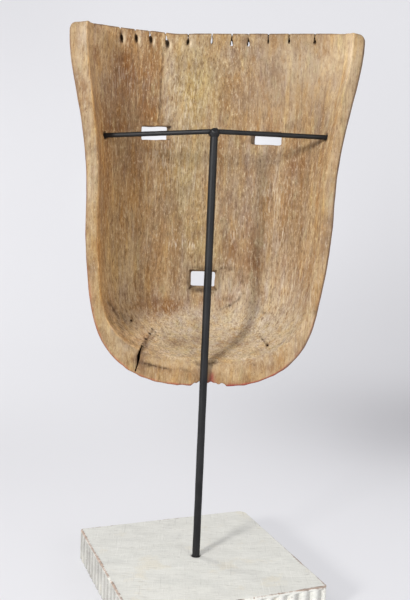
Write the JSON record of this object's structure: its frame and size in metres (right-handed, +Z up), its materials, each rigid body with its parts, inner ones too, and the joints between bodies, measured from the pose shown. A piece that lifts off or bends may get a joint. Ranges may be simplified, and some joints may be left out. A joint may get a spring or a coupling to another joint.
{
  "type": "wooden mask on a stand",
  "caption": "Carved wooden face mask with a hollow back, hung on the crossbar of a black steel rod that stands in a square fluted white plinth.",
  "frame": {"origin": "centre of the plinth's underside, directly below the rod", "axes": "+Z up along the rod; the face of the mask looks toward -Y and its hollow back opens toward +Y; the plinth is turned 20 degrees about Z"},
  "size_m": [0.2892, 0.2546, 0.5801],
  "materials": {
    "mask_wood": "bare tooled wood with vertical grain inside and on the rim, worn red ochre on the face",
    "black_steel": "satin black, slightly rough",
    "white_paint": "thin chalky white paint with brush marks, worn to brown at the edges"
  },
  "bodies": {
    "root": {"mask": "mask_wood", "stand_rod": "black_steel", "stand_crossbar": "black_steel", "stand_weld": "black_steel", "plinth": "white_paint"}
  },
  "joints": []
}
